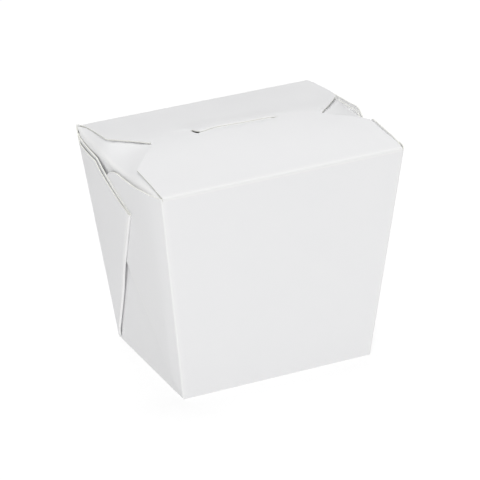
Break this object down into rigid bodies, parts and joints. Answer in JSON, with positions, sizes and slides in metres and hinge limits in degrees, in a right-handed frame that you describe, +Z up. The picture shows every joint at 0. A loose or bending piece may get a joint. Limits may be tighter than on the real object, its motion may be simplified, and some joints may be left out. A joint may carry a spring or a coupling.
{
  "type": "noodle takeaway box",
  "caption": "Shut tapered food pail folded from plain white board, with overlapping lid flaps locked by a tongue in a slit and gussets laid on its ends.",
  "frame": {"origin": "middle of the base, on the surface that the box stands on", "axes": "+Z up, X along the wide panels, -Y towards the front panel, whose lid flap lies on top"},
  "size_m": [0.118, 0.089, 0.104],
  "materials": {
    "white_board": "smooth white-coated paperboard, low sheen, with cream cut edges"
  },
  "bodies": {
    "root": {"carton": "white_board"}
  },
  "joints": []
}
